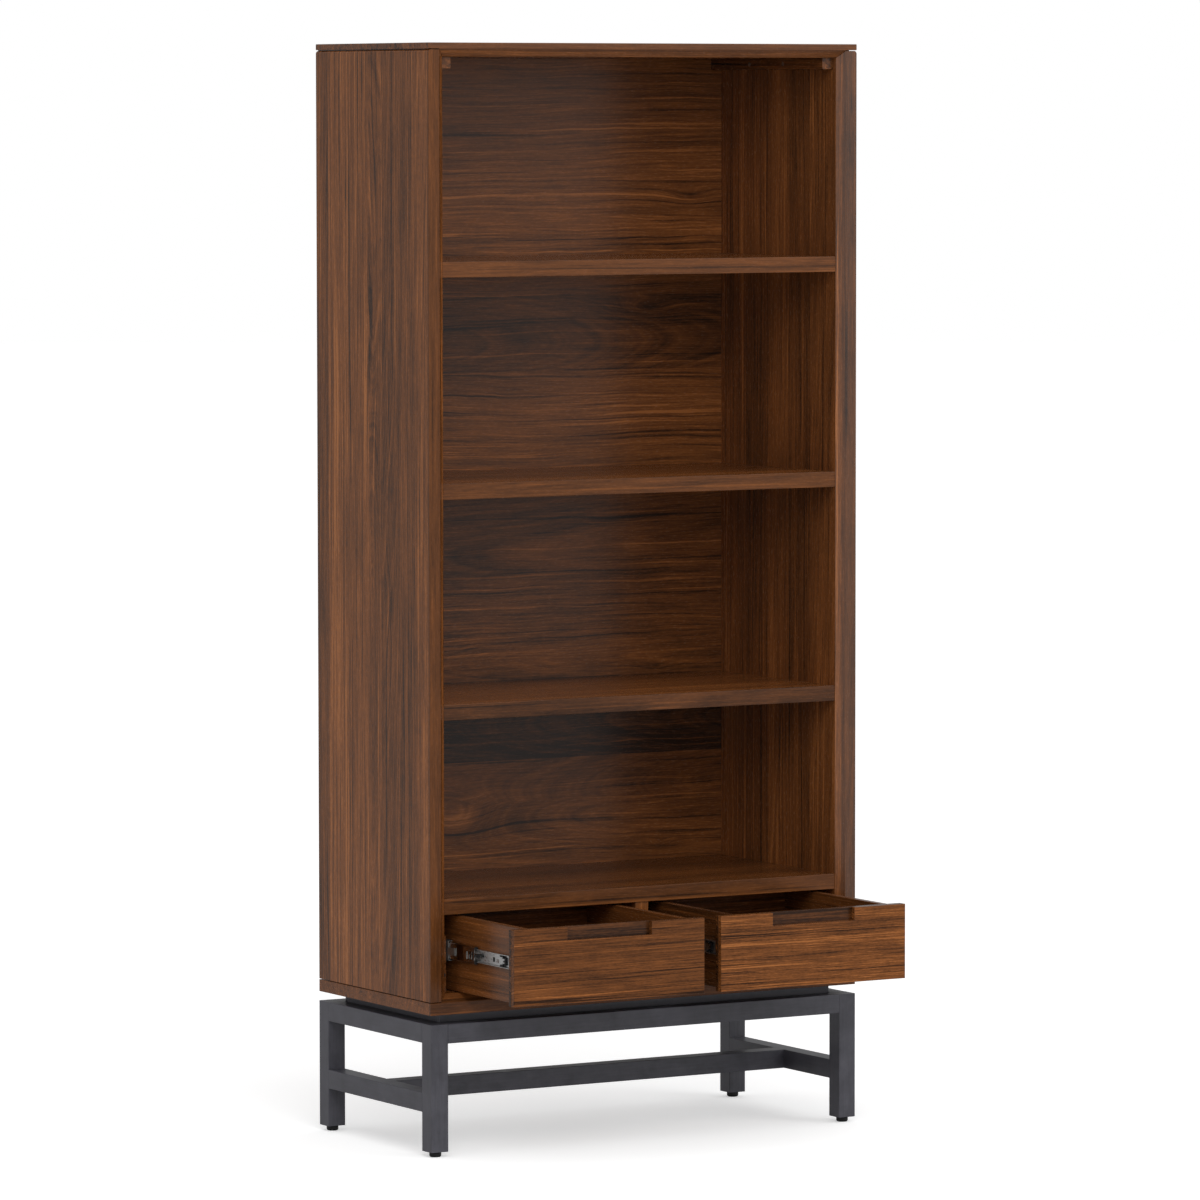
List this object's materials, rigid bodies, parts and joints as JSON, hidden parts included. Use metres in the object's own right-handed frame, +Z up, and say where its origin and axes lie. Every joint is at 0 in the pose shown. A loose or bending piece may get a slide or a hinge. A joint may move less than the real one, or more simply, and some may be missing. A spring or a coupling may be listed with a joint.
{
  "type": "bookcase with bottom drawers",
  "caption": "Tall open walnut bookcase with bevelled frame, shelves and two side-by-side drawers on ball runners, on a square steel tube stand.",
  "frame": {"origin": "on the floor, at the middle of the stand's plan", "axes": "+Z up, the open front and the drawers face -Y, +X to the right seen from the front"},
  "size_m": [0.827, 0.598, 1.829],
  "materials": {
    "walnut": "satin lacquered walnut, medium dark brown with long grain",
    "graphite_paint": "brushed look graphite powder coat",
    "zinc_steel": "bright zinc plated sheet steel",
    "black_plastic": "matte black moulded plastic",
    "rubber": "soft black rubber",
    "beech": "plain turned hardwood dowel"
  },
  "bodies": {
    "carcass_and_stand": {"back_left_leg": "graphite_paint", "back_panel": "walnut", "back_panel_screws": "zinc_steel", "back_right_leg": "graphite_paint", "back_top_rail": "graphite_paint", "base_bolts": "zinc_steel", "base_inserts": "zinc_steel", "bottom_board": "walnut", "cleat_screws": "zinc_steel", "drawer_bumpers": "rubber", "drawer_deck": "walnut", "drawer_divider": "walnut", "front_left_leg": "graphite_paint", "front_right_leg": "graphite_paint", "front_top_rail": "graphite_paint", "glides": "black_plastic", "left_bay_packers": "walnut", "left_outer_runners": "zinc_steel", "left_side_panel": "walnut", "left_stretcher": "graphite_paint", "left_top_cleat": "walnut", "left_top_rail": "graphite_paint", "long_carrier_bars": "graphite_paint", "long_stretcher": "graphite_paint", "lower_shelf": "walnut", "middle_shelf": "walnut", "packer_screws": "zinc_steel", "panel_dowels": "beech", "right_bay_packers": "walnut", "right_outer_runners": "zinc_steel", "right_side_panel": "walnut", "right_stretcher": "graphite_paint", "right_top_cleat": "walnut", "right_top_rail": "graphite_paint", "runner_screws": "zinc_steel", "short_carrier_bars": "graphite_paint", "top_board": "walnut", "upper_shelf": "walnut"},
    "left_drawer": {"left_drawer_back": "walnut", "left_drawer_backing": "walnut", "left_drawer_bottom": "walnut", "left_drawer_face": "walnut", "left_drawer_left_side": "walnut", "left_drawer_right_side": "walnut", "left_drawer_screws": "zinc_steel", "left_inner_runners": "zinc_steel"},
    "left_inner_cages": {"left_inner_cages": "zinc_steel"},
    "left_middle_runners": {"left_middle_runners": "zinc_steel"},
    "left_outer_cages": {"left_outer_cages": "zinc_steel"},
    "right_drawer": {"right_drawer_back": "walnut", "right_drawer_backing": "walnut", "right_drawer_bottom": "walnut", "right_drawer_face": "walnut", "right_drawer_left_side": "walnut", "right_drawer_right_side": "walnut", "right_drawer_screws": "zinc_steel", "right_inner_runners": "zinc_steel"},
    "right_inner_cages": {"right_inner_cages": "zinc_steel"},
    "right_middle_runners": {"right_middle_runners": "zinc_steel"},
    "right_outer_cages": {"right_outer_cages": "zinc_steel"}
  },
  "joints": [
    {"name": "left_drawer_slide", "type": "slide", "parent": "carcass_and_stand", "child": "left_drawer", "axis": [0, -1, 0], "range_m": [-0.225, 0.075]},
    {"name": "left_middle_runners_slide", "type": "slide", "parent": "carcass_and_stand", "child": "left_middle_runners", "axis": [0, -1, 0], "range_m": [-0.1125, 0.0375]},
    {"name": "left_outer_cages_slide", "type": "slide", "parent": "carcass_and_stand", "child": "left_outer_cages", "axis": [0, -1, 0], "range_m": [-0.05625, 0.01875]},
    {"name": "left_inner_cages_slide", "type": "slide", "parent": "carcass_and_stand", "child": "left_inner_cages", "axis": [0, -1, 0], "range_m": [-0.16875, 0.05625]},
    {"name": "right_drawer_slide", "type": "slide", "parent": "carcass_and_stand", "child": "right_drawer", "axis": [0, -1, 0], "range_m": [-0.225, 0.075]},
    {"name": "right_middle_runners_slide", "type": "slide", "parent": "carcass_and_stand", "child": "right_middle_runners", "axis": [0, -1, 0], "range_m": [-0.1125, 0.0375]},
    {"name": "right_outer_cages_slide", "type": "slide", "parent": "carcass_and_stand", "child": "right_outer_cages", "axis": [0, -1, 0], "range_m": [-0.05625, 0.01875]},
    {"name": "right_inner_cages_slide", "type": "slide", "parent": "carcass_and_stand", "child": "right_inner_cages", "axis": [0, -1, 0], "range_m": [-0.16875, 0.05625]}
  ],
  "couplings": [
    {"joint": "left_middle_runners_slide", "follows": "left_drawer_slide", "ratio": 0.5},
    {"joint": "left_outer_cages_slide", "follows": "left_drawer_slide", "ratio": 0.25},
    {"joint": "left_inner_cages_slide", "follows": "left_drawer_slide", "ratio": 0.75},
    {"joint": "right_middle_runners_slide", "follows": "right_drawer_slide", "ratio": 0.5},
    {"joint": "right_outer_cages_slide", "follows": "right_drawer_slide", "ratio": 0.25},
    {"joint": "right_inner_cages_slide", "follows": "right_drawer_slide", "ratio": 0.75}
  ]
}
